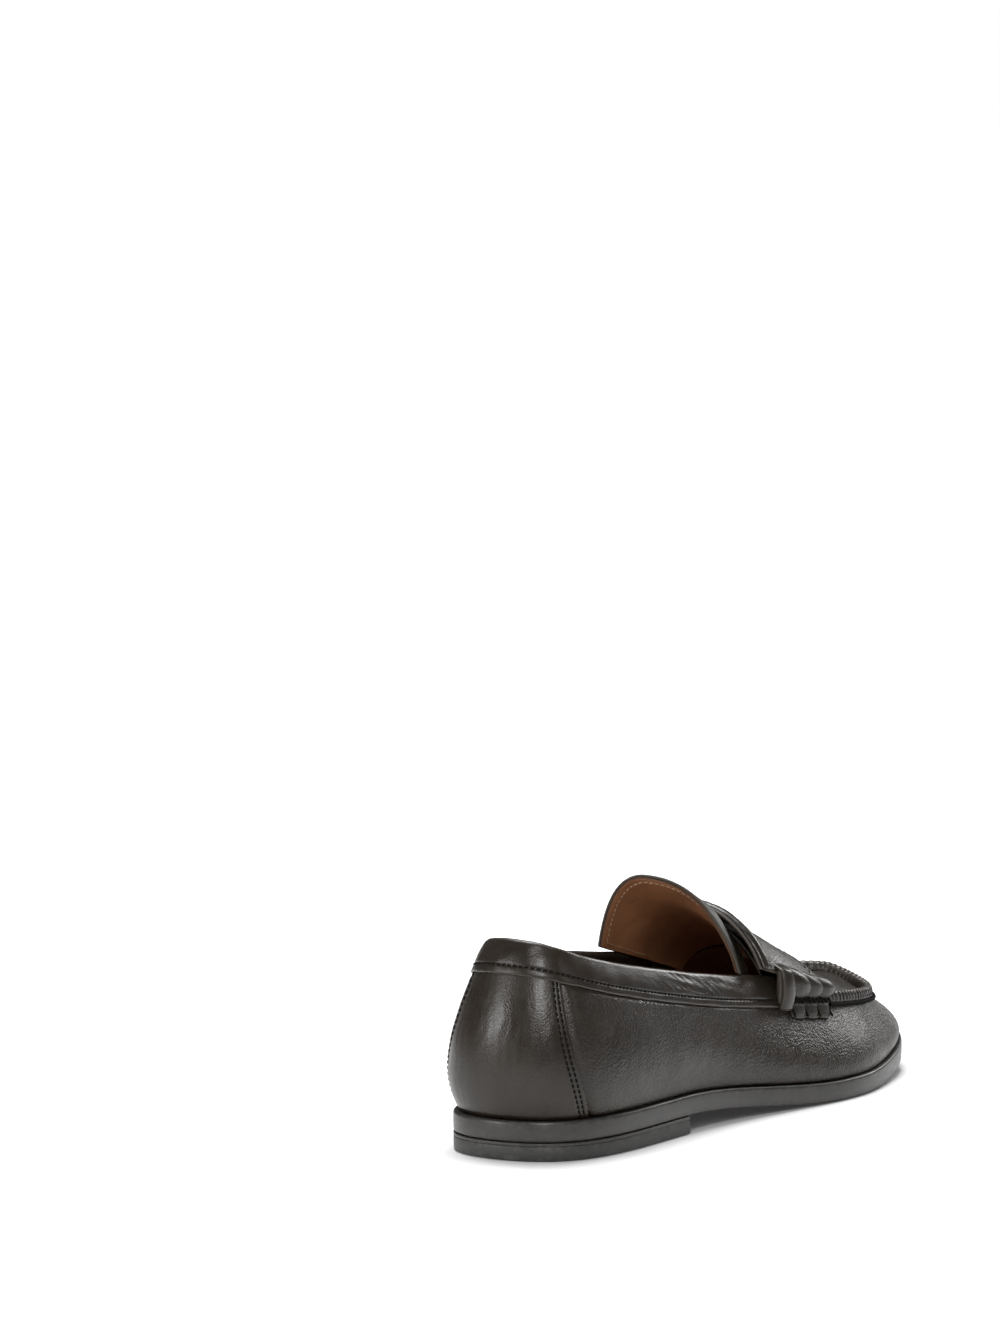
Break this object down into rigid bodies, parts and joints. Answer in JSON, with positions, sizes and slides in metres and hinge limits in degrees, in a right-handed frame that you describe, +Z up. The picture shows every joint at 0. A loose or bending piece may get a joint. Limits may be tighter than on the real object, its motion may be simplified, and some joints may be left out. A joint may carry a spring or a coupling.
{
  "type": "penny loafer",
  "caption": "Slip-on leather penny loafer for a right foot, with a saddle strap, pleated strap rolls, a raised apron seam, a high tongue and a low stacked heel.",
  "frame": {"origin": "middle of the footprint of the shoe's box, on the ground", "axes": "+X from the heel to the toe, +Y to the inner (medial) side of the right foot, +Z up"},
  "size_m": [0.2924, 0.0994, 0.0943],
  "materials": {
    "upper_leather": "fine-pebbled dark brown calf leather with a soft satin sheen",
    "lining_leather": "smooth matt tan-brown lining leather",
    "fibre_board": "matt bonded fibre board",
    "steel": "bright steel",
    "sole_rubber": "satin dark grey-brown, smooth edge",
    "heel_stack": "satin dark grey, burnished edge",
    "heel_rubber": "matt dark grey",
    "cork_filler": "granulated cork paste",
    "foam": "matt latex foam",
    "waxed_thread": "waxed dark brown thread"
  },
  "bodies": {
    "shoe": {"heel_cover": "upper_leather", "vamp": "upper_leather", "collar": "upper_leather", "apron": "upper_leather", "saddle_strap": "upper_leather", "strap_roll_lateral": "upper_leather", "strap_roll_medial": "upper_leather", "heel_grip": "lining_leather", "quarter_lining_lateral": "lining_leather", "quarter_lining_medial": "lining_leather", "vamp_lining": "lining_leather", "sock_liner": "lining_leather", "heel_counter": "fibre_board", "side_backer_lateral": "fibre_board", "side_backer_medial": "fibre_board", "toe_puff": "fibre_board", "insole_board": "fibre_board", "heel_nail_1": "steel", "heel_nail_2": "steel", "heel_nail_3": "steel", "heel_nail_4": "steel", "heel_nail_5": "steel", "shank": "steel", "outsole": "sole_rubber", "heel_lift": "heel_stack", "heel_top_piece": "heel_rubber", "bottom_filler": "cork_filler", "comfort_foam": "foam", "seam_thread": "waxed_thread"},
    "tongue": {"tongue": "upper_leather", "tongue_lining": "lining_leather"}
  },
  "joints": [
    {"name": "tongue_flex", "type": "hinge", "parent": "shoe", "child": "tongue", "pos_m": [0.0067, 0, 0.0745], "axis": [0, 1, 0], "range_deg": [-5, 11], "stiffness_Nm_per_rad": 0.6}
  ]
}
